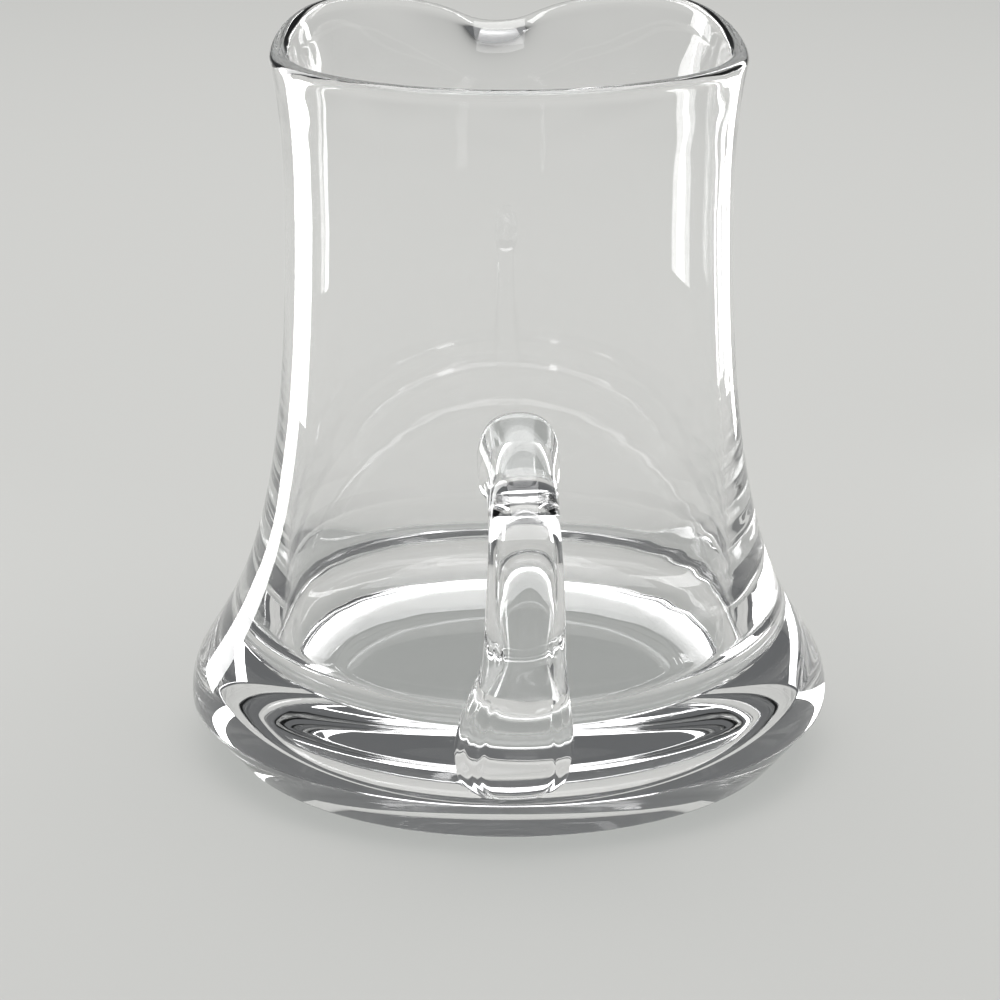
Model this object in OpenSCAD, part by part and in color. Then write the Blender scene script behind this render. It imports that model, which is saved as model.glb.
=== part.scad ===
// Heavy clear glass beer pitcher. A blown body with a thick flared foot, a rounded
// rim and a pouring lip bent outward, and a solid glass handle laid on while hot.
// Millimetres. Z is up, the table is Z = 0 and the axis of the body is X = Y = 0.
// The lip points along +Y and the handle along -Y.

/* [Foot] */
// Widest diameter of the foot
foot_d = 170; // [160:1:180]
// Height of the widest ring above the table
foot_z = 15; // [12:1:18]
// Radius of the rounded shoulder of the foot
foot_round = 19; // [15:1:21]
// Lean of the slope above the shoulder, in degrees from upright
foot_slope = 29; // [25:1:32]
// Diameter of the flat polished underside
rest_d = 148; // [138:1:154]
// Drop from the widest ring to the crisp edge of the undercut band
edge_drop = 2; // [1:0.5:4]
// Radius of the rounded edge around the underside
rest_round = 2; // [1:0.5:4]

/* [Wall] */
// Outside diameter at the waist, the narrowest place
waist_d = 115.8; // [112:0.2:119]
// Height of the waist above the table
waist_z = 147.5; // [140:0.5:153]
// Wall thickness at the waist
wall_t = 4.4; // [3.6:0.1:5.6]
// Pull on the flaring outside, up along the slope of the foot
flare_low = 16.6; // [12:0.2:22]
// Pull on the flaring outside, down from the waist
flare_high = 95; // [78:1:102]

/* [Beer space] */
// Glass between the table and the floor of the beer space
base_t = 17.5; // [13:0.5:22]
// Diameter of the beer space where it is widest, at the top of the cove around its floor
floor_d = 128; // [120:1:131]
// Height of the cove that rounds the wall into the floor
cove_h = 15.5; // [11:0.5:18]
// Width of the cove, from the wall in towards the axis
cove_w = 19; // [15:0.5:24]
// Inward lean of the inside wall above the cove, in degrees from upright
floor_lean = 15; // [10:1:19]

/* [Rim and lip] */
// Height of the level front rim above the table
rim_z = 186; // [182:1:194]
// Thickness of the rounded rim
rim_t = 5; // [4.2:0.1:6]
// Outward lean of the wall where it ends in the rim, in degrees
rim_lean = 10.5; // [6:0.5:14]
// Rise of the rim to the shoulders on both sides of the lip
shoulder_rise = 9; // [3:0.5:12]
// Angle from the lip, seen from the axis, where the rim begins to rise
shoulder_start = 100; // [80:1:120]
// Angle from the lip, seen from the axis, where the shoulder is full
shoulder_full = 45; // [38:1:60]
// Half breadth of the valley between the shoulders, seen from the axis, in degrees
valley_spread = 25; // [19:0.5:30]
// Outward bend of the wall at the tip of the lip, in degrees
lip_bend = 60; // [46:1:70]
// Length of wall that takes part in the bend of the lip
lip_run = 19.5; // [15:0.5:25]
// Half breadth of the bent lip, seen from the axis, in degrees
lip_spread = 12.5; // [10:0.5:16]

/* [Handle] */
// Height of the middle of the upper seat above the table
seat_z = 93.5; // [90:0.5:97]
// Width of the upper seat
seat_w = 20.4; // [18:0.2:24]
// Height of the upper seat on the wall
seat_h = 26; // [22:0.5:29]
// Clear space for the fingers, where the handle stands farthest out
finger_gap = 21; // [17:1:26]
// Width of the rod at its bend
rod_w = 17.2; // [15:0.2:19]
// Thickness of the rod at its bend
rod_t = 15; // [12:0.5:17]
// Width of the rod where the tongue begins
low_w = 22.6; // [20:0.2:25]
// Height of the place where the rod stands farthest out
reach_z = 72; // [68:0.5:76]
// Width of the tongue where the rod is pressed on to the foot
tongue_w = 31.2; // [27:0.2:35]
// Thickness of the tongue
tongue_t = 16.5; // [15:0.5:19]
// Height of the tip of the tongue above the table
tongue_z = 12.5; // [12:0.5:16]
// Length of the rounded nose of the tongue
nose_len = 8; // [6:0.5:10]
// Sideways set of the tongue from the middle of the body
tongue_set = -2.9; // [-3.3:0.1:3.3]
// Depth of the middle of the tongue inside the widest ring of the foot
tongue_sink = 3; // [2:0.5:5]
// Lean of the handle toward the body where it comes down on the slope of the foot
lean_in = 12.5; // [10:0.5:15]

/* [Hidden] */
$fn = 96;
arc_n = 10;
curve_n = 28;
column_n = 84;
step_n = 9;
bead_n = 6;
cove_n = 20;
path_n = 40;
ring_n = 28;

// Half section of the foot
foot_r = foot_d / 2;
rest_r = rest_d / 2;
round_r = foot_r - foot_round;
edge_tilt = -asin(edge_drop / foot_round);
edge_r = round_r + foot_round * cos(edge_tilt);
edge_z = foot_z - edge_drop;
under_tilt = atan2(edge_z, edge_r - rest_r);
under_len = rest_round * tan(under_tilt / 2);
slope_r = round_r + foot_round * cos(foot_slope);
slope_z = foot_z + foot_round * sin(foot_slope);

// Half section of the wall and of the beer space
waist_r = waist_d / 2;
waist_in = waist_r - wall_t;
floor_r = floor_d / 2;
corner_z = base_t + cove_h;
cove_turn = atan(cove_h / cove_w * tan(floor_lean));
inside_low_share = 0.14;
inside_high_share = 0.4;

// Collar from the waist to the rim, its foot set into the wall below
collar_len = rim_z - rim_t / 2 - waist_z;
collar_r = waist_r - wall_t / 2;
tuck_share = 0.25;
ledge_share = 0.025;
collar_tuck = wall_t * tuck_share;
collar_ledge = wall_t * ledge_share;
lean_power = 1.5;
bend_power = 1.3;
lip_power = 3;
column_crowd = 0.55;

// Line of the handle, as distances from the axis and heights
wall_at_seat = outer_r(seat_z);
reach_r = outer_r(reach_z) + finger_gap + rod_t / 2;
tongue_r = foot_r - tongue_sink;
bend_out_share = 0.58;
bend_up_share = 0.75;
drop_share = 0.45;
settle_share = 0.58;
seat_out_share = 0.033;
seat_fade_share = 0.2;
seat_power = 2.5;
seat_square_share = 0.17;
taper_share = 0.26;
taper_end_share = 0.95;
spread_share = 0.68;
spread_end_share = 1;
rod_set_share = 0.2;
tip_share = 0.002;

body();
handle();

function smooth(t) =
    let (s = min(1, max(0, t))) s * s * (3 - 2 * s);

// Points of a circular arc in a half section
function arc(middle, radius, from, to, count) =
    [for (i = [0 : count]) let (a = from + (to - from) * i / count)
        middle + radius * [cos(a), sin(a)]];

// Point of a cubic curve drawn by four places
function curve_at(p, t) =
    pow(1 - t, 3) * p[0] + 3 * t * pow(1 - t, 2) * p[1]
    + 3 * t * t * (1 - t) * p[2] + pow(t, 3) * p[3];

// Rounded shoulder of the foot, from the crisp edge to the slope
function shoulder_points() =
    arc([round_r, foot_z], foot_round, edge_tilt, foot_slope, arc_n);

// Flaring outside of the wall, from the shoulder of the foot to the waist
function flare_places() = [
    [slope_r, slope_z],
    [slope_r - flare_low * sin(foot_slope), slope_z + flare_low * cos(foot_slope)],
    [waist_r, waist_z - flare_high],
    [waist_r, waist_z]
];

function flare_points() =
    [for (i = [1 : curve_n]) curve_at(flare_places(), i / curve_n)];

// Point of the oval cove around the floor, at an angle up from its middle
function cove_at(a) =
    [floor_r - cove_w + cove_w * cos(a), corner_z + cove_h * sin(a)];

// Inside of the wall, from the cove around the floor to the waist
function inside_places() =
    let (low = (waist_z - corner_z) * inside_low_share,
        p = cove_at(cove_turn))
    [p,
        p + low * [-sin(floor_lean), cos(floor_lean)],
        [waist_in, waist_z - (waist_z - corner_z) * inside_high_share],
        [waist_in, waist_z]];

// Outside of the half section, from the axis at the table up to the waist
function outer_points() = concat(
    [[0, 0]],
    arc([rest_r - under_len, rest_round], rest_round, -90, under_tilt - 90, arc_n / 2),
    shoulder_points(),
    flare_points()
);

// Inside of the half section, from the waist down to the axis at the floor
function inner_points() = concat(
    [for (i = [0 : curve_n - 1]) curve_at(inside_places(), 1 - i / curve_n)],
    [for (i = [0 : cove_n]) cove_at(cove_turn - (cove_turn + 90) * i / cove_n)],
    [[0, base_t]]
);

// Outside radius at a height between the foot and the waist
function outer_r(z) =
    lookup(z, [for (p = concat(shoulder_points(), flare_points())) [p[1], p[0]]]);

// Share of the bend at an angle from the direction of the lip
function lip_share(a) =
    let (d = min(a, 360 - a)) 1 / (1 + pow(d / lip_spread, lip_power));

// Share of the valley in the rim at an angle from the direction of the lip
function valley_share(a) =
    let (d = min(a, 360 - a)) 1 / (1 + pow(d / valley_spread, 2));

// Length of the collar at an angle, longer at the shoulders beside the lip
function collar_length(a) =
    let (d = min(a, 360 - a))
    collar_len + shoulder_rise * (1 - valley_share(a))
    * smooth((shoulder_start - d) / (shoulder_start - shoulder_full));

// Outward lean of the collar at a distance along it
function collar_lean(s, length, a) =
    rim_lean * pow(s / length, lean_power)
    + lip_bend * lip_share(a) * pow(max(0, (s - length + lip_run) / lip_run), bend_power);

// Middle line of the collar at an angle, as radius, height and lean
function collar_line(a) =
    let (length = collar_length(a), step = length / step_n)
    [for (i = 0, r = collar_r, z = waist_z; i <= step_n;
        r = r + step * sin(collar_lean((i + 0.5) * step, length, a)),
        z = z + step * cos(collar_lean((i + 0.5) * step, length, a)),
        i = i + 1)
        [r, z, collar_lean(i * step, length, a)]];

// Half thickness of the collar, growing toward the rim
function half_thick(i) =
    let (low = wall_t / 2 - collar_ledge) low + (rim_t / 2 - low) * smooth(i / step_n);

// Closed section of the collar: up the outside, over the rim, down the inside
function collar_section(a) =
    let (line = collar_line(a), top = line[step_n])
    concat(
        [[collar_r + half_thick(0), waist_z - collar_tuck]],
        [for (i = [0 : step_n]) let (p = line[i])
            [p[0] + half_thick(i) * cos(p[2]), p[1] - half_thick(i) * sin(p[2])]],
        [for (i = [1 : bead_n - 1]) let (b = 180 * i / bead_n - top[2])
            [top[0] + rim_t / 2 * cos(b), top[1] + rim_t / 2 * sin(b)]],
        [for (i = [0 : step_n]) let (k = step_n - i, p = line[k])
            [p[0] - half_thick(k) * cos(p[2]), p[1] + half_thick(k) * sin(p[2])]],
        [[collar_r - half_thick(0), waist_z - collar_tuck]]
    );

// Angle of a column of the collar, columns standing closer together at the lip
function column_angle(j) =
    let (u = 360 * j / column_n) u - column_crowd * 180 / PI * sin(u);

// Faces around a ring of closed sections whose last section joins the first
function ring_faces(sections, count) =
    [for (j = [0 : sections - 1], i = [0 : count - 1])
        let (k = (j + 1) % sections, n = (i + 1) % count)
        each [[j * count + i, k * count + n, j * count + n],
            [j * count + i, k * count + i, k * count + n]]];

// Faces along a rod of closed sections with flat ends
function rod_faces(sections, count) = concat(
    [for (j = [0 : sections - 2], i = [0 : count - 1])
        let (k = j + 1, n = (i + 1) % count)
        each [[j * count + i, j * count + n, k * count + n],
            [j * count + i, k * count + n, k * count + i]]],
    [[for (i = [0 : count - 1]) count - 1 - i]],
    [[for (i = [0 : count - 1]) (sections - 1) * count + i]]
);

// Upper line of the handle, out from the wall and over
function bend_places() = [
    [wall_at_seat - wall_t, seat_z],
    [wall_at_seat + (reach_r - wall_at_seat) * bend_out_share, seat_z],
    [reach_r, reach_z + (seat_z - reach_z) * bend_up_share],
    [reach_r, reach_z]
];

// Lower line of the handle, down on to the foot
function drop_places() = [
    [reach_r, reach_z],
    [reach_r, reach_z - (reach_z - tongue_z) * drop_share],
    [tongue_r - lean_in, tongue_z + (reach_z - tongue_z) * settle_share],
    [tongue_r, tongue_z]
];

function handle_line() = concat(
    [for (i = [0 : path_n / 2]) curve_at(bend_places(), 2 * i / path_n)],
    [for (i = [1 : path_n / 2]) curve_at(drop_places(), 2 * i / path_n)]
);

// How far the rod has grown toward the tongue at a share of its line
function taper(u) =
    smooth((u - taper_share) / (taper_end_share - taper_share));

// How far the rod has spread into the tongue at a share of its line
function spread(u) =
    smooth((u - spread_share) / (spread_end_share - spread_share));

// Sideways place of the line, which swings over with the spread
function swing(u) =
    tongue_set * (rod_set_share + (1 - rod_set_share) * spread(u));

// How much of the upper seat is left at a share of the line, all of it where the line leaves the wall
function seat_left(u) =
    pow(min(1, max(0, (seat_fade_share - u) / (seat_fade_share - seat_out_share))), seat_power);

// Sine or cosine drawn out toward the corners, for a section squarer than an oval
function squared(v, power) = sign(v) * pow(abs(v), power);

// Shrink of the sections in the rounded nose of the tongue
function nose_share(u, z) =
    let (d = u > spread_share ? min(1, (z - tongue_z) / nose_len) : 1)
    sqrt(max(tip_share, 1 - pow(1 - d, 2)));

// Closed section of the handle at a place along its line
function handle_section(line, j) =
    let (p = line[j],
        ahead = line[min(path_n, j + 1)] - line[max(0, j - 1)],
        d = ahead / norm(ahead),
        u = j / path_n,
        k = nose_share(u, p[1]) / 2,
        e = 1 - seat_square_share * seat_left(u),
        w = k * (rod_w + (seat_w - rod_w) * seat_left(u) + (low_w - rod_w) * taper(u)
            + (tongue_w - low_w) * spread(u)),
        t = k * (rod_t + (seat_h - rod_t) * seat_left(u) + (tongue_t - rod_t) * spread(u)))
    [for (i = [0 : ring_n - 1]) let (c = 360 * i / ring_n)
        [swing(u) + w * squared(cos(c), e),
            -p[0] - t * squared(sin(c), e) * d[1],
            p[1] - t * squared(sin(c), e) * d[0]]];

// Outside of the body up to the waist, filled
module outer_form() {
    rotate_extrude()
        polygon(concat(outer_points(), [[0, waist_z]]));
}

// Foot, floor and wall up to the waist
module bowl() {
    rotate_extrude()
        polygon(concat(outer_points(), inner_points()));
}

// Wall from the waist to the rounded rim, with the shoulders and the lip
module collar() {
    sections = [for (j = [0 : column_n - 1]) collar_section(column_angle(j))];
    polyhedron(
        points = [for (j = [0 : column_n - 1], p = sections[j])
            [p[0] * sin(column_angle(j)), p[0] * cos(column_angle(j)), p[1]]],
        faces = ring_faces(column_n, len(sections[0])),
        convexity = 8);
}

// Rod of the handle, running a little way into the wall and into the foot
module rod() {
    line = handle_line();
    polyhedron(
        points = [for (j = [0 : path_n], p = handle_section(line, j)) p],
        faces = rod_faces(path_n + 1, ring_n),
        convexity = 6);
}

module body() {
    color([0.86, 0.92, 0.92, 0.5]) union() {
        bowl();
        collar();
    }
}

module handle() {
    color([0.80, 0.89, 0.90, 0.5]) difference() {
        rod();
        outer_form();
    }
}
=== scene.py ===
import math

import bmesh
import bpy
from mathutils import Matrix, Vector, noise


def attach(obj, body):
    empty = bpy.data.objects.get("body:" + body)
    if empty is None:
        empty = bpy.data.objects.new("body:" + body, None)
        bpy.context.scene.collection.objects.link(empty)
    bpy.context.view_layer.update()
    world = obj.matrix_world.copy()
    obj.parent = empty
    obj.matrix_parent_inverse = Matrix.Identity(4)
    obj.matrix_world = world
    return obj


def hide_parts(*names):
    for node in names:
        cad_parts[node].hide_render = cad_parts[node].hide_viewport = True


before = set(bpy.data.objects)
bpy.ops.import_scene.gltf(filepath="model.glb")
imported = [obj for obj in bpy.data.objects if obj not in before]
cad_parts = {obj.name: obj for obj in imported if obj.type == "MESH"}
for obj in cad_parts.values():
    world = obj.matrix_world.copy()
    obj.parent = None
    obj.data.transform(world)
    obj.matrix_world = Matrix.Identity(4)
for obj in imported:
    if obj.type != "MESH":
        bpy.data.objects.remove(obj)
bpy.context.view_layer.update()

MM = 0.001

# Sizes of the part, in millimetres, as its source gives them. The foot and the shoulders beside
# the lip are a hair smaller, so that the smooth skin stays in the box of the faceted solids.
FOOT_R = 84.96
FOOT_Z = 15.0
FOOT_ROUND = 19.0
FOOT_SLOPE = math.radians(29)
REST_R = 74.0
EDGE_DROP = 2.0
REST_ROUND = 2.0
WAIST_R = 57.9
WAIST_Z = 147.5
WALL_T = 4.4
FLARE_LOW = 16.6
FLARE_HIGH = 95.0
BASE_T = 17.5
FLOOR_R = 64.0
COVE_H = 15.5
COVE_W = 19.0
FLOOR_LEAN = math.radians(15)
RIM_Z = 186.0
RIM_T = 5.0
RIM_LEAN = math.radians(10.5)
SHOULDER_RISE = 8.92
SHOULDER_START = 100.0
SHOULDER_FULL = 45.0
VALLEY_SPREAD = 25.0
LIP_BEND = math.radians(60)
LIP_RUN = 19.5
LIP_SPREAD = 12.5
LIP_POWER = 3.0
SEAT_Z = 93.5
SEAT_W = 20.4
SEAT_H = 26.0
FINGER_GAP = 21.0
ROD_W = 17.2
ROD_T = 15.0
LOW_W = 22.6
REACH_Z = 72.0
TONGUE_W = 31.2
TONGUE_T = 16.5
TONGUE_Z = 12.5
NOSE_LEN = 8.0
TONGUE_SET = -2.9
TONGUE_SINK = 3.0
LEAN_IN = 12.5

# Shares of a length, and powers, that shape the curves as in the source
IN_LOW_SHARE = 0.14
IN_HIGH_SHARE = 0.4
LEAN_POWER = 1.5
BEND_POWER = 1.3
BEND_OUT_SHARE = 0.58
BEND_UP_SHARE = 0.75
DROP_SHARE = 0.45
SETTLE_SHARE = 0.58
TAPER_SHARE = 0.26
TAPER_LEN_SHARE = 0.69
SPREAD_SHARE = 0.68
SPREAD_LEN_SHARE = 0.32
ROD_SET_SHARE = 0.2
SEAT_OUT_SHARE = 0.033
SEAT_FADE_SHARE = 0.2
SEAT_SQUARE_SHARE = 0.17
SEAT_POWER = 2.5


def smooth(t):
    t = min(1.0, max(0.0, t))
    return t * t * (3 - 2 * t)


def mix(a, b, t):
    return a + (b - a) * t


def arc(r, z, radius, start, end, count):
    """Points of an arc in a half section, angles in degrees."""
    turns = [math.radians(mix(start, end, i / count)) for i in range(count + 1)]
    return [(r + radius * math.cos(a), z + radius * math.sin(a)) for a in turns]


def curve_at(places, t):
    """Point of a cubic curve drawn by four places."""
    shares = ((1 - t) ** 3, 3 * t * (1 - t) ** 2, 3 * t * t * (1 - t), t ** 3)
    return tuple(sum(s * p[k] for s, p in zip(shares, places)) for k in (0, 1))


# Half section of the body. The wall above the waist is drawn straight up here
# and takes its flare, its shoulders and its lip when the collar is bent.
COLLAR_R = WAIST_R - WALL_T / 2
COLLAR_LEN = RIM_Z - RIM_T / 2 - WAIST_Z
ROUND_R = FOOT_R - FOOT_ROUND
EDGE_TILT = -math.asin(EDGE_DROP / FOOT_ROUND)
EDGE_R = ROUND_R + FOOT_ROUND * math.cos(EDGE_TILT)
UNDER_TILT = math.atan2(FOOT_Z - EDGE_DROP, EDGE_R - REST_R)
SLOPE_R = ROUND_R + FOOT_ROUND * math.cos(FOOT_SLOPE)
SLOPE_Z = FOOT_Z + FOOT_ROUND * math.sin(FOOT_SLOPE)
CORNER_Z = BASE_T + COVE_H
COVE_TURN = math.atan(COVE_H / COVE_W * math.tan(FLOOR_LEAN))
FLARE = (
    (SLOPE_R, SLOPE_Z),
    (SLOPE_R - FLARE_LOW * math.sin(FOOT_SLOPE), SLOPE_Z + FLARE_LOW * math.cos(FOOT_SLOPE)),
    (WAIST_R, WAIST_Z - FLARE_HIGH),
    (WAIST_R, WAIST_Z),
)
WAIST_IN = WAIST_R - WALL_T
IN_R = FLOOR_R - COVE_W + COVE_W * math.cos(COVE_TURN)
IN_Z = CORNER_Z + COVE_H * math.sin(COVE_TURN)
IN_LOW = IN_LOW_SHARE * (WAIST_Z - CORNER_Z)
INSIDE = (
    (WAIST_IN, WAIST_Z),
    (WAIST_IN, mix(WAIST_Z, CORNER_Z, IN_HIGH_SHARE)),
    (IN_R - IN_LOW * math.sin(FLOOR_LEAN), IN_Z + IN_LOW * math.cos(FLOOR_LEAN)),
    (IN_R, IN_Z),
)


def half_thick(s):
    return mix(WALL_T, RIM_T, smooth(s / COLLAR_LEN)) / 2


def under_line():
    """Underside of the half section: its rounded edge and the undercut band up to the crisp edge."""
    under_len = REST_ROUND * math.tan(UNDER_TILT / 2)
    points = arc(REST_R - under_len, REST_ROUND, REST_ROUND, -90, math.degrees(UNDER_TILT) - 90, 6)
    low, high = points[-1], (EDGE_R, FOOT_Z - EDGE_DROP)
    return points + [(mix(low[0], high[0], t), mix(low[1], high[1], t)) for t in (0.3, 0.6, 0.9, 0.97)]


def outside_line(count):
    """Outside of the half section, from the crisp edge over the shoulder of the foot to the waist."""
    points = arc(ROUND_R, FOOT_Z, FOOT_ROUND, math.degrees(EDGE_TILT), math.degrees(FOOT_SLOPE), 18)
    return points + [curve_at(FLARE, i / count) for i in range(1, count + 1)]


def inside_line(count):
    """Inside of the half section, from the waist down through the oval cove to the floor."""
    points = [curve_at(INSIDE, i / count) for i in range(count + 1)]
    turns = arc(0.0, 0.0, 1.0, math.degrees(COVE_TURN), -90, 40)[1:]
    return points + [(FLOOR_R - COVE_W + COVE_W * r, CORNER_Z + COVE_H * z) for r, z in turns]


def body_section():
    points = [(0.0, 0.0)] + [(REST_R * k, 0.0) for k in (0.3, 0.6, 0.85, 0.95)]
    points += under_line() + outside_line(96)
    rises = [COLLAR_LEN * i / 30 for i in range(31)]
    points += [(COLLAR_R + half_thick(s), WAIST_Z + s) for s in rises[1:]]
    points += arc(COLLAR_R, WAIST_Z + COLLAR_LEN, RIM_T / 2, 0, 180, 12)[1:-1]
    points += [(COLLAR_R - half_thick(s), WAIST_Z + s) for s in rises[:0:-1]]
    points += inside_line(96)
    floor_r = FLOOR_R - COVE_W
    return points + [(floor_r * k, BASE_T) for k in (0.95, 0.8, 0.5, 0.25)] + [(0.0, BASE_T)]


def spun(section, steps):
    """A closed form of revolution about Z, from a half section in millimetres."""
    bm = bmesh.new()
    verts = [bm.verts.new((r * MM, 0.0, z * MM)) for r, z in section]
    edges = [bm.edges.new(pair) for pair in zip(verts, verts[1:])]
    bmesh.ops.spin(
        bm, geom=verts + edges, cent=(0, 0, 0), axis=(0, 0, 1), dvec=(0, 0, 0),
        angle=math.tau, steps=steps, use_merge=True, use_duplicate=False)
    bmesh.ops.remove_doubles(bm, verts=bm.verts, dist=1e-7)
    bmesh.ops.recalc_face_normals(bm, faces=bm.faces)
    return bm


def bend_collar(bm):
    """Bends the straight wall above the waist into the flared rim, the shoulders and the lip."""
    steps = 60
    lines = {}

    def line_at(angle):
        """Middle line of the collar at an angle from the lip: radius, height and lean."""
        key = round(angle, 4)
        if key not in lines:
            off = min(abs(angle), 360 - abs(angle))
            valley = 1 / (1 + (off / VALLEY_SPREAD) ** 2)
            rise = smooth((SHOULDER_START - off) / (SHOULDER_START - SHOULDER_FULL))
            length = COLLAR_LEN + SHOULDER_RISE * (1 - valley) * rise
            lip = LIP_BEND / (1 + (off / LIP_SPREAD) ** LIP_POWER)
            step = length / steps

            def lean(s):
                late = max(0.0, (s - length + LIP_RUN) / LIP_RUN)
                return RIM_LEAN * (s / length) ** LEAN_POWER + lip * late ** BEND_POWER

            r, z, line = COLLAR_R, WAIST_Z, []
            for i in range(steps + 1):
                line.append((r, z, lean(i * step)))
                r += step * math.sin(lean((i + 0.5) * step))
                z += step * math.cos(lean((i + 0.5) * step))
            lines[key] = line
        return lines[key]

    for v in bm.verts:
        s = v.co.z / MM - WAIST_Z
        if s <= 0:
            continue
        x, y = v.co.x, v.co.y
        radius = math.hypot(x, y)
        across = radius / MM - COLLAR_R
        line = line_at(math.degrees(math.atan2(x, y)))
        place = min(s / COLLAR_LEN, 1.0) * steps
        i = min(int(place), steps - 1)
        r, z, lean = (mix(a, b, place - i) for a, b in zip(line[i], line[i + 1]))
        past = max(0.0, s - COLLAR_LEN)
        r += across * math.cos(lean) + past * math.sin(lean)
        z += past * math.cos(lean) - across * math.sin(lean)
        v.co = (x / radius * r * MM, y / radius * r * MM, z * MM)


def radius_at(line, height):
    """Radius of a line of the half section at a height."""
    for (r0, z0), (r1, z1) in zip(line, line[1:]):
        if min(z0, z1) <= height <= max(z0, z1) and z0 != z1:
            return mix(r0, r1, (height - z0) / (z1 - z0))
    return WAIST_R


# Unevenness that blowing and tooling have left in the wall, in millimetres
SWELL, SWELL_WIDE, SWELL_TALL, SWELL_RISE = 0.05, 30.0, 70.0, 30.0
TOOL_RING, TOOL_RING_STEP, TOOL_RING_DRIFT = 0.016, 5.4, 2.0
TOOL_RING_RISE, TOOL_RING_FADE = 12.0, 30.0
STILL_BELOW, STILL_ABOVE = 40.0, 118.0
RIM_WAVE, RIM_WAVE_LEN, RIM_WAVE_FROM, RIM_WAVE_RISE = 0.14, 9.0, 156.0, 20.0
HANDLE_CLEAR, HANDLE_FADE = 18.0, 14.0


def hand_made(bm):
    """Moves the wall in and out a little: slow swells, and close rings of the tools on the flare."""
    outside, inside = outside_line(200), inside_line(200)
    heights = range(int(WAIST_Z) + 2)
    middles = [(radius_at(outside, z) + radius_at(inside, z)) / 2 for z in heights]
    for v in bm.verts:
        x, y, z = v.co / MM
        radius = math.hypot(x, y)
        if z < STILL_BELOW:
            continue
        middle = middles[int(z)] if z < WAIST_Z else COLLAR_R
        outer = radius > middle
        at = Vector((x / SWELL_WIDE, y / SWELL_WIDE, z / SWELL_TALL + (0 if outer else 40)))
        swell = SWELL * smooth((z - STILL_BELOW) / SWELL_RISE) * noise.noise(at)
        drift = TOOL_RING_DRIFT * noise.noise(at * 1.7)
        flare = smooth((z - STILL_BELOW) / TOOL_RING_RISE) * smooth((STILL_ABOVE - z) / TOOL_RING_FADE)
        # The rings stand out on one side, where the tool was laid
        side = mix(0.2, 1.0, smooth((x / radius - 0.4) / 0.5))
        share = 0.6 if outer else 1.0
        wave = math.sin(math.tau * (z + drift) / TOOL_RING_STEP)
        ring = TOOL_RING * share * flare * side * wave
        rise = 0.0 if outer else smooth((z - RIM_WAVE_FROM) / RIM_WAVE_RISE)
        rim = RIM_WAVE * rise * noise.noise(v.co / MM / RIM_WAVE_LEN)
        by_handle = y < 0 and z < SEAT_Z + SEAT_H
        clear = smooth((abs(x) - HANDLE_CLEAR) / HANDLE_FADE) if by_handle and outer else 1.0
        shift = 1 + (swell + ring + rim) * clear / radius
        v.co = (v.co.x * shift, v.co.y * shift, v.co.z)


# Line of the handle, as distances from the axis and heights
OUTSIDE = outside_line(200)
SEAT_R = radius_at(OUTSIDE, SEAT_Z)
REACH_R = radius_at(OUTSIDE, REACH_Z) + FINGER_GAP + ROD_T / 2
TONGUE_R = FOOT_R - TONGUE_SINK
OVER = (
    (SEAT_R - WALL_T, SEAT_Z),
    (mix(SEAT_R, REACH_R, BEND_OUT_SHARE), SEAT_Z),
    (REACH_R, mix(REACH_Z, SEAT_Z, BEND_UP_SHARE)),
    (REACH_R, REACH_Z),
)
DOWN = (
    (REACH_R, REACH_Z),
    (REACH_R, mix(REACH_Z, TONGUE_Z, DROP_SHARE)),
    (TONGUE_R - LEAN_IN, mix(TONGUE_Z, REACH_Z, SETTLE_SHARE)),
    (TONGUE_R, TONGUE_Z),
)
SIDES = 128
STATIONS = 120

# Creases that the paddle has pressed along both flanks of the tongue: depth in millimetres, then
# breadth, drift and places as shares of half its width
CREASE, CREASE_WIDE, CREASE_DRIFT = 0.95, 0.065, 0.06
CREASE_PLACES = (-0.9, -0.74, -0.56, 0.7, 0.88)


def rod_place(u):
    return curve_at(OVER, 2 * u) if u < 0.5 else curve_at(DOWN, 2 * u - 1)


def crease(u, side, spread):
    """Depth of the creases at a share of the line and a share of half the width."""
    depth = 0.0
    for k, place in enumerate(CREASE_PLACES):
        wander = noise.noise(Vector((u * 11.0, 5.3 * k, 0.5)))
        strength = 0.6 + 0.8 * noise.noise(Vector((u * 7.0, 5.3 * k, 9.5)))
        off = (side - place - CREASE_DRIFT * wander) / CREASE_WIDE
        depth += max(0.0, strength) * math.exp(-off * off)
    return CREASE * smooth((spread - 0.05) / 0.35) * depth


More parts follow.
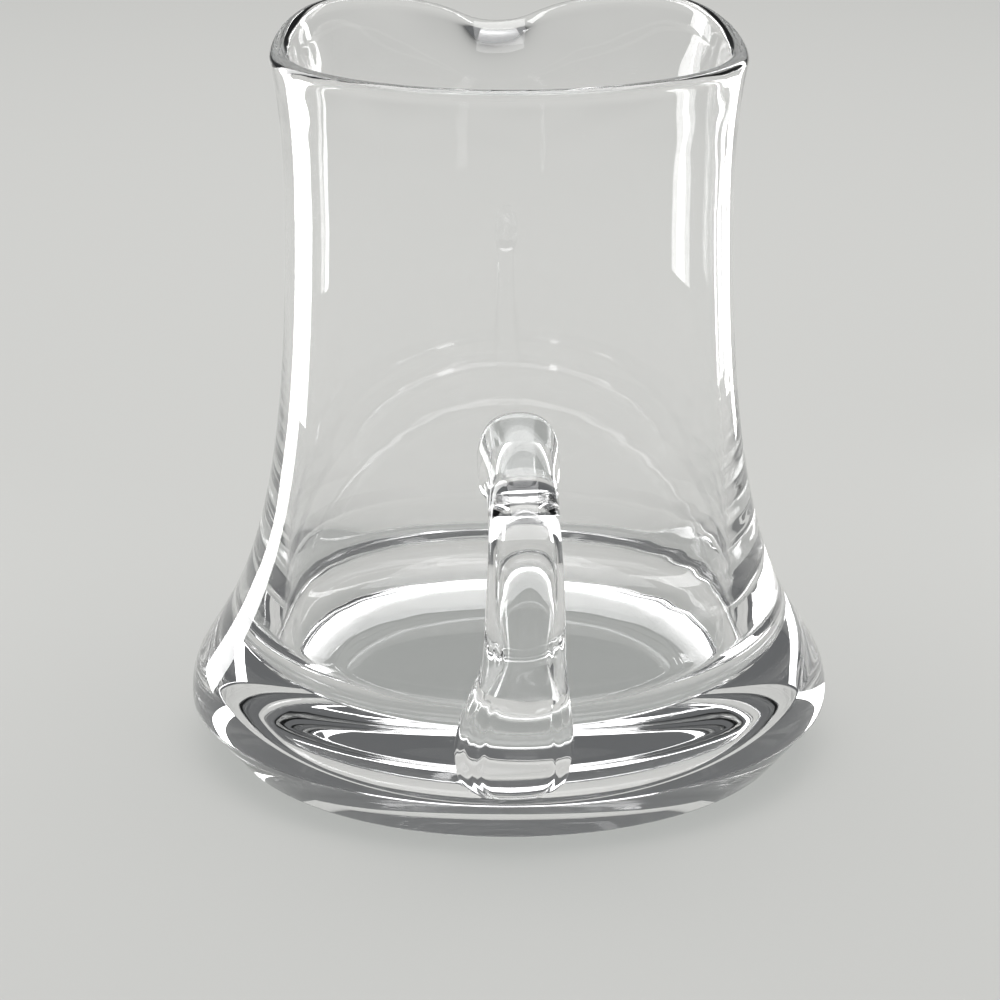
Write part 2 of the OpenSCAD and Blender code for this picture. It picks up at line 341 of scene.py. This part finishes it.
def rod_section(u):
    """Points of the closed section of the handle at a share of its line, in millimetres."""
    r, z = rod_place(u)
    ahead, behind = rod_place(min(1.0, u + 0.002)), rod_place(max(0.0, u - 0.002))
    way = Vector((ahead[0] - behind[0], ahead[1] - behind[1])).normalized()
    left = (SEAT_FADE_SHARE - u) / (SEAT_FADE_SHARE - SEAT_OUT_SHARE)
    seat = min(1.0, max(0.0, left)) ** SEAT_POWER
    corner = 1 - SEAT_SQUARE_SHARE * seat
    taper = smooth((u - TAPER_SHARE) / TAPER_LEN_SHARE)
    spread = smooth((u - SPREAD_SHARE) / SPREAD_LEN_SHARE)
    nose = min(1.0, (z - TONGUE_Z) / NOSE_LEN) if u > SPREAD_SHARE else 1.0
    shrink = math.sqrt(max(0.0004, 1 - (1 - nose) ** 2)) / 2
    full_w = ROD_W + (SEAT_W - ROD_W) * seat + (LOW_W - ROD_W) * taper + (TONGUE_W - LOW_W) * spread
    full_t = ROD_T + (SEAT_H - ROD_T) * seat + (TONGUE_T - ROD_T) * spread
    wide, thick = shrink * full_w, shrink * full_t
    middle = mix(ROD_SET_SHARE, 1.0, spread) * TONGUE_SET
    points = []
    for i in range(SIDES):
        turn = math.tau * i / SIDES
        side, face = math.cos(turn), math.sin(turn)
        press = 1 - crease(u, side, spread) / wide if face < 0 else 1.0
        across = press * wide * math.copysign(abs(side) ** corner, side)
        out = press * thick * math.copysign(abs(face) ** corner, face)
        points.append(Vector((middle + across, -r - out * way[1], z - out * way[0])) * MM)
    return points


def rod_form():
    """The whole rod of the handle, with its ends running into the wall and the foot."""
    bm = bmesh.new()
    ring = bmesh.ops.create_circle(bm, cap_ends=True, segments=SIDES, radius=MM)["verts"]
    for v, place in zip(ring, rod_section(0.0)):
        v.co = place
    loop = [e for e in bm.edges]
    for k in range(1, STATIONS + 1):
        made = bmesh.ops.extrude_edge_only(bm, edges=loop)["geom"]
        loop = [g for g in made if isinstance(g, bmesh.types.BMEdge)]
        fresh = [g for g in made if isinstance(g, bmesh.types.BMVert)]
        places = rod_section(k / STATIONS)
        behind = rod_section((k - 1) / STATIONS)
        for v in fresh:
            i = min(range(SIDES), key=lambda j: (behind[j] - v.co).length_squared)
            v.co = places[i]
        loop = [e for e in loop if all(w in fresh for w in e.verts)]
    bmesh.ops.edgeloop_fill(bm, edges=loop)
    bmesh.ops.recalc_face_normals(bm, faces=bm.faces)
    return bm


def srgb(code):
    """Linear colour with alpha from a hex code."""
    parts = [int(code[i:i + 2], 16) / 255 for i in (1, 3, 5)]
    return tuple(c / 12.92 if c <= 0.04045 else ((c + 0.055) / 1.055) ** 2.4 for c in parts) + (1.0,)


def add(tree, kind, settings=None, links=None):
    """Adds a node. Settings and links go to its sockets by name or number, or to its properties."""
    node = tree.nodes.new(kind)
    for key, value in (settings or {}).items():
        if isinstance(key, str) and hasattr(node, key):
            setattr(node, key, value)
        else:
            node.inputs[key].default_value = value
    for key, source in (links or {}).items():
        tree.links.new(source, node.inputs[key])
    return node


def material(name):
    mat = bpy.data.materials.new(name)
    mat.use_nodes = True
    mat.node_tree.nodes.clear()
    return mat, mat.node_tree


def fire_polished_glass():
    """Colourless soda glass, blown and fire-polished: clear right through, with a mirror skin
    that the tools and handling have left very slightly uneven."""
    mat, tree = material("fire_polished_clear_glass")
    place = add(tree, "ShaderNodeTexCoord").outputs["Object"]
    smear_mm = 16
    smears = add(tree, "ShaderNodeTexNoise", {"Scale": 1000 / smear_mm, "Detail": 3.0}, {"Vector": place})
    rough = add(
        tree, "ShaderNodeMapRange",
        {"From Min": 0.45, "From Max": 0.75, "To Min": 0.0, "To Max": 0.015},
        {"Value": smears.outputs["Fac"]})
    glass = add(
        tree, "ShaderNodeBsdfPrincipled",
        {"Base Color": srgb("#FFFFFF"), "IOR": 1.52, "Transmission Weight": 1.0},
        {"Roughness": rough.outputs["Result"]})
    # Lamps shine through to the floor, weakened a little at each face
    let_through = add(tree, "ShaderNodeBsdfTransparent", {"Color": srgb("#F8F9F9")})
    rays = add(tree, "ShaderNodeLightPath")
    both = add(
        tree, "ShaderNodeMixShader",
        links={0: rays.outputs["Is Shadow Ray"], 1: glass.outputs["BSDF"], 2: let_through.outputs["BSDF"]})
    add(tree, "ShaderNodeOutputMaterial", links={"Surface": both.outputs["Shader"]})
    return mat


def fused_seat():
    """Where the two pieces are melted into one there is no surface to see."""
    mat, tree = material("fused_glass_seat")
    glass = add(
        tree, "ShaderNodeBsdfPrincipled",
        {"Base Color": srgb("#FFFFFF"), "Roughness": 0.0, "IOR": 1.52, "Alpha": 0.0})
    add(tree, "ShaderNodeOutputMaterial", links={"Surface": glass.outputs["BSDF"]})
    return mat


GLASS = fire_polished_glass()
SEAT = fused_seat()


def piece(name, bm, materials):
    mesh = bpy.data.meshes.new(name)
    bm.to_mesh(mesh)
    bm.free()
    for mat in materials:
        mesh.materials.append(mat)
    made = bpy.data.objects.new(name, mesh)
    bpy.context.scene.collection.objects.link(made)
    return made


def cut(target, tool, how):
    """A bmesh of target cut by tool. Faces that follow the tool wear the tool's material."""
    step = target.modifiers.new("cut", "BOOLEAN")
    step.operation = how
    step.object = tool
    step.solver = "EXACT"
    step.material_mode = "TRANSFER"
    bm = bmesh.new()
    bm.from_object(target, bpy.context.evaluated_depsgraph_get())
    target.modifiers.remove(step)
    return bm


def drop(ob):
    mesh = ob.data
    bpy.data.objects.remove(ob)
    bpy.data.meshes.remove(mesh)


def without(bm, index):
    """Takes out the faces that wear the material at this index."""
    bmesh.ops.delete(bm, geom=[f for f in bm.faces if f.material_index == index], context="FACES")


def all_smooth(bm):
    for f in bm.faces:
        f.smooth = True


AROUND = 240
SEAT_GAP = 0.03

body_bm = spun(body_section(), AROUND)
hand_made(body_bm)
bend_collar(body_bm)
bmesh.ops.recalc_face_normals(body_bm, faces=body_bm.faces)
body_whole = piece("body_whole", body_bm, [GLASS, SEAT])
rod_whole = piece("rod_whole", rod_form(), [GLASS, SEAT])
rod_tool = piece("rod_tool", rod_form(), [SEAT])
form = [(0.0, -SEAT_GAP)] + [(r + SEAT_GAP, z - SEAT_GAP) for r, z in under_line() + outside_line(96)]
form_tool = piece("form_tool", spun(form + [(0.0, WAIST_Z - SEAT_GAP)], AROUND), [SEAT])

# The body keeps its skin, marked out where the two ends of the handle are melted on
skin = cut(body_whole, rod_tool, "DIFFERENCE")
without(skin, 1)
seats = cut(body_whole, rod_tool, "INTERSECT")
without(seats, 1)
for f in seats.faces:
    f.material_index = 1
seat_mesh = bpy.data.meshes.new("seats")
seats.to_mesh(seat_mesh)
seats.free()
skin.from_mesh(seat_mesh)
bpy.data.meshes.remove(seat_mesh)
bmesh.ops.remove_doubles(skin, verts=skin.verts, dist=2e-7)
all_smooth(skin)

# The handle ends where the skin of the body begins
rod = cut(rod_whole, form_tool, "DIFFERENCE")
bmesh.ops.remove_doubles(rod, verts=rod.verts, dist=2e-7)
bmesh.ops.dissolve_verts(rod, verts=[v for v in rod.verts if len(v.link_edges) == 2])
all_smooth(rod)
for e in rod.edges:
    if len({f.material_index for f in e.link_faces}) > 1:
        e.smooth = False

for spare in (body_whole, rod_whole, rod_tool, form_tool):
    drop(spare)

body = piece("pitcher_body", skin, [GLASS, SEAT])
handle = piece("pitcher_handle", rod, [GLASS, SEAT])
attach(body, "root")
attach(handle, "root")
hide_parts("body")
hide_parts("handle")


def painted_board():
    """Matt painted studio board."""
    mat, tree = material("matt_painted_board")
    paint = add(
        tree, "ShaderNodeBsdfPrincipled",
        {"Base Color": srgb("#C8C8C5"), "Roughness": 0.85, "Specular IOR Level": 0.2})
    add(tree, "ShaderNodeOutputMaterial", links={"Surface": paint.outputs["BSDF"]})
    return mat


FLOOR_GAP = 0.15
floor_bm = bmesh.new()
bmesh.ops.create_grid(floor_bm, x_segments=4, y_segments=4, size=6.0)
bmesh.ops.translate(floor_bm, verts=floor_bm.verts, vec=(0, 0, -FLOOR_GAP * MM))
floor = piece("floor", floor_bm, [painted_board()])

# Camera of the photograph: distance and height from the jug in millimetres, and its lens as a
# share of the width of the picture
VIEW_TURN = math.radians(-2.7)
VIEW_SIDE, VIEW_AWAY, VIEW_UP = -2.35, 834.5, 330.8
VIEW_DOWN = math.radians(17.661)
VIEW_LENS = 3.3
lens = bpy.data.cameras.new("camera")
lens.sensor_width = 36.0
lens.lens = 36.0 * VIEW_LENS
lens.clip_end = 50.0
camera = bpy.data.objects.new("camera", lens)
bpy.context.scene.collection.objects.link(camera)
turn = Matrix.Rotation(VIEW_TURN, 4, "Z")
spot = Matrix.Translation(Vector((VIEW_SIDE, -VIEW_AWAY, VIEW_UP)) * MM)
camera.matrix_world = turn @ spot @ Matrix.Rotation(math.radians(90) - VIEW_DOWN, 4, "X")
bpy.context.scene.camera = camera


def softbox(name, place, aim, wide, tall, watts):
    light = bpy.data.lights.new(name, "AREA")
    light.shape = "RECTANGLE"
    light.size, light.size_y = wide, tall
    light.energy = watts
    lamp = bpy.data.objects.new(name, light)
    bpy.context.scene.collection.objects.link(lamp)
    way = Vector(aim) - Vector(place)
    lamp.matrix_world = Matrix.Translation(place) @ way.to_track_quat("-Z", "Y").to_matrix().to_4x4()
    return lamp


# A wide panel hangs above. Two narrow ones stand on the floor beside the jug, out of the picture,
# and give the glass its long upright glints. They leave no pools of light on the board.
softbox("top_panel", (0.0, 0.5, 2.4), (0, 0.5, 0.0), 3.0, 3.0, 85)
glints = (
    softbox("left_panel", (-0.27, 0.21, 0.26), (0, 0, 0.26), 0.085, 0.5, 0.8),
    softbox("right_panel", (0.23, 0.26, 0.26), (0, 0, 0.26), 0.035, 0.5, 0.35),
)
for lamp in glints:
    lamp.visible_diffuse = False

world = bpy.data.worlds.new("studio")
bpy.context.scene.world = world
world.use_nodes = True
world.node_tree.nodes["Background"].inputs["Color"].default_value = srgb("#A4A6A8")
world.node_tree.nodes["Background"].inputs["Strength"].default_value = 0.35

# Light turns many times inside thick glass before it comes out
cycles = bpy.context.scene.cycles
cycles.max_bounces = cycles.transmission_bounces = cycles.glossy_bounces = 32
cycles.transparent_max_bounces = 32
cycles.caustics_reflective = cycles.caustics_refractive = False
bpy.context.scene.view_settings.view_transform = "Standard"
